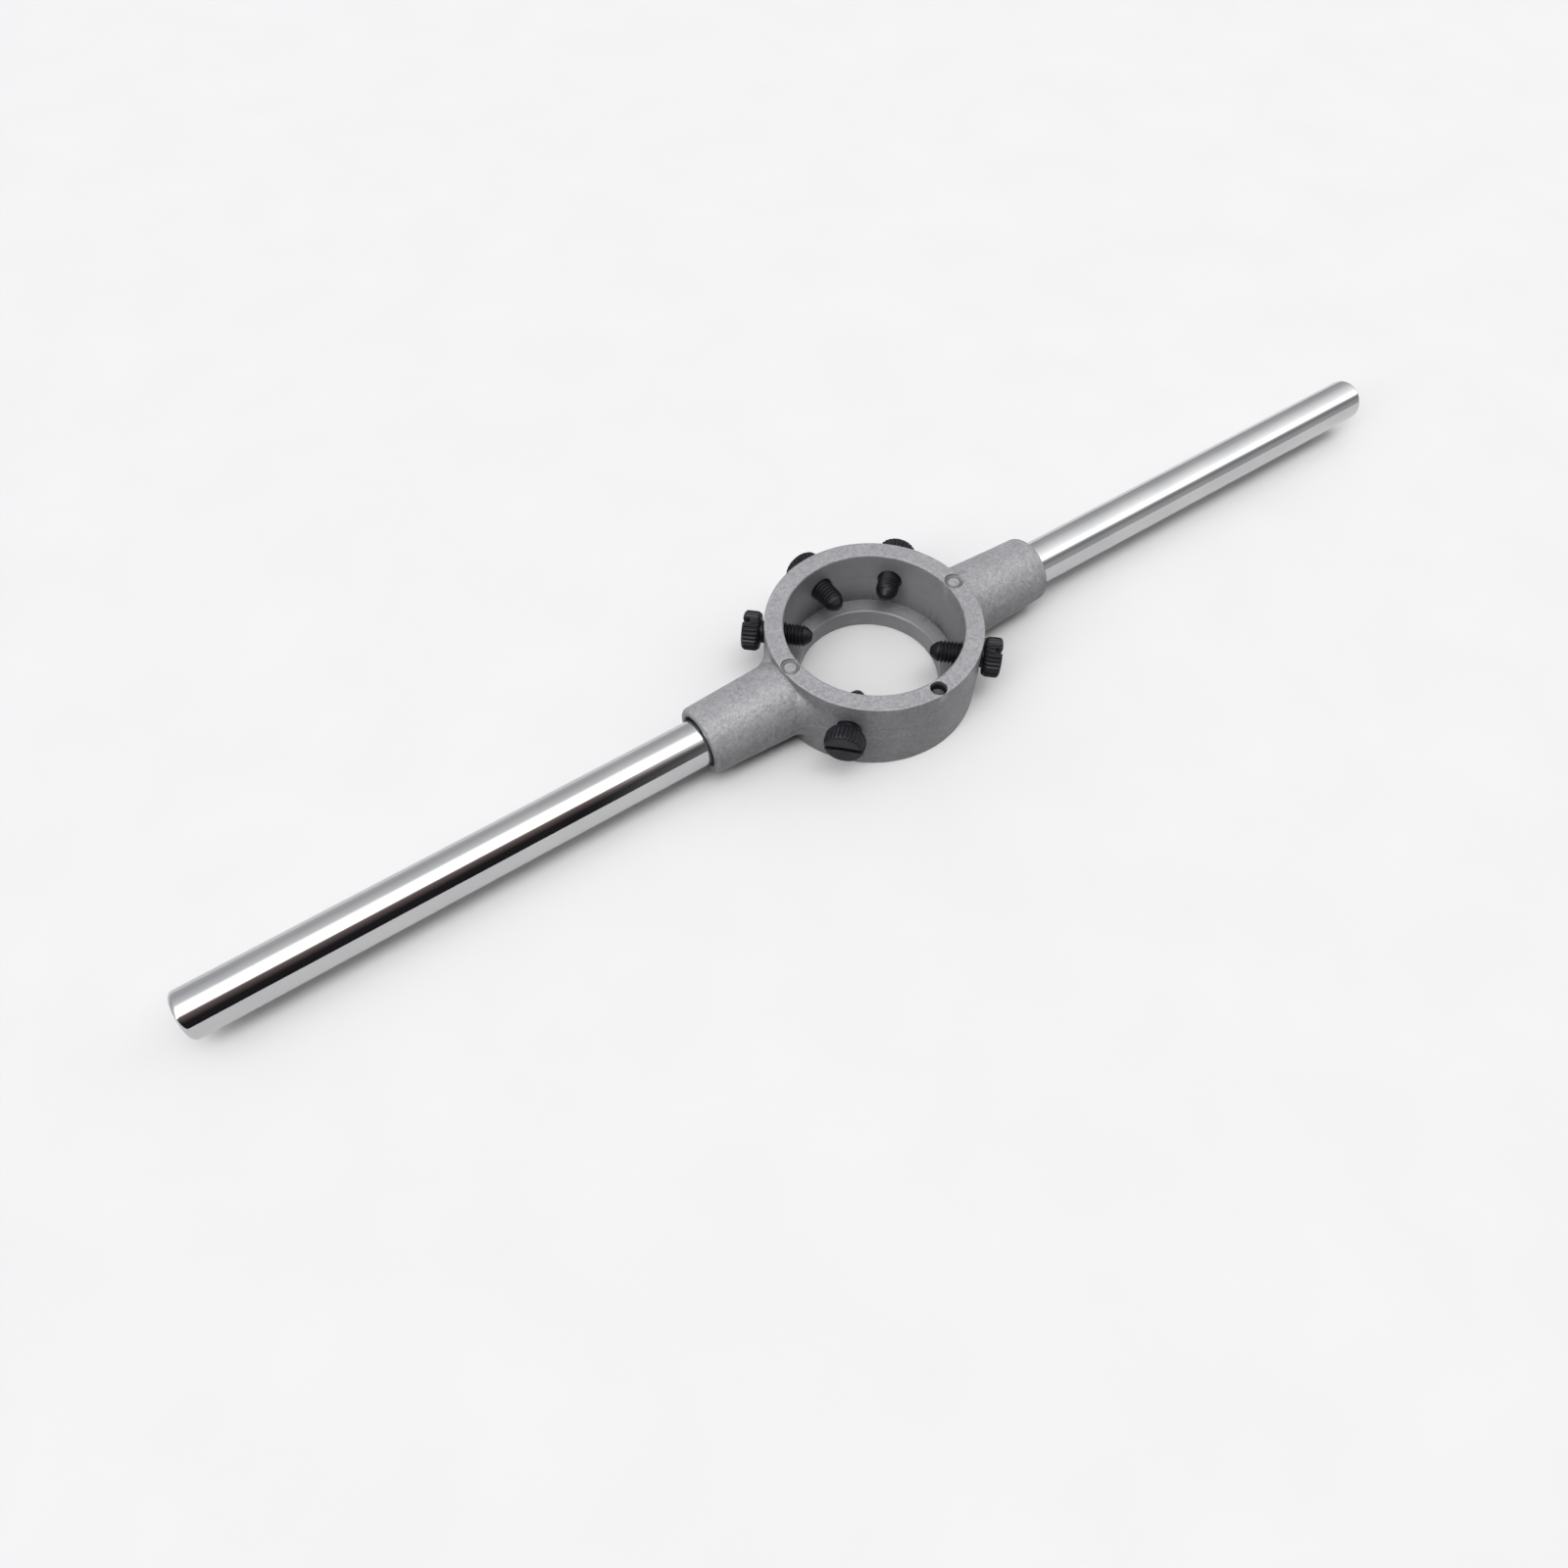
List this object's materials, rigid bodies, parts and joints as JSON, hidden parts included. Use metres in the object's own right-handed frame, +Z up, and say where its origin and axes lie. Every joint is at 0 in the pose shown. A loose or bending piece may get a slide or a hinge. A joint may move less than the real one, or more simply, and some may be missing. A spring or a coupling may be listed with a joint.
{
  "type": "round die stock",
  "caption": "Straight two-handed holder for a round threading die: cast ring with a stepped pocket, plain chromed rods and radial slotted thumb screws.",
  "frame": {"origin": "centre of the ring's bottom face, on the axis of the opening through the ledge", "axes": "+Z up along the die's axis, towards the open mouth of the pocket; +X along the right-hand rod; +Y towards the single spreading screw"},
  "size_m": [0.3, 0.0506, 0.0184],
  "materials": {
    "cast_body": "fine cast skin, satin silver grey",
    "chromed_rod": "bright chrome",
    "black_screw": "black oxide steel, low sheen"
  },
  "bodies": {
    "stock": {"stock_body": "cast_body", "left_handle": "chromed_rod", "right_handle": "chromed_rod"},
    "spreading_screw": {"spreading_screw": "black_screw"},
    "closing_screw_left": {"closing_screw_left": "black_screw"},
    "closing_screw_right": {"closing_screw_right": "black_screw"},
    "clamping_screw_left": {"clamping_screw_left": "black_screw"},
    "clamping_screw_right": {"clamping_screw_right": "black_screw"}
  },
  "joints": [
    {"name": "spreading_screw_travel", "type": "slide", "parent": "stock", "child": "spreading_screw", "axis": [0, 1, 0], "range_m": [-0.0001, 0.007]},
    {"name": "closing_screw_left_travel", "type": "slide", "parent": "stock", "child": "closing_screw_left", "axis": [-0.7431, 0.6691, 0], "range_m": [-0.0007, 0.0064]},
    {"name": "closing_screw_right_travel", "type": "slide", "parent": "stock", "child": "closing_screw_right", "axis": [0.7431, 0.6691, 0], "range_m": [-0.0011, 0.006]},
    {"name": "clamping_screw_left_travel", "type": "slide", "parent": "stock", "child": "clamping_screw_left", "axis": [-0.7431, -0.6691, 0], "range_m": [-0.0014, 0.0057]},
    {"name": "clamping_screw_right_travel", "type": "slide", "parent": "stock", "child": "clamping_screw_right", "axis": [0.7431, -0.6691, 0], "range_m": [-0.0002, 0.0069]}
  ]
}
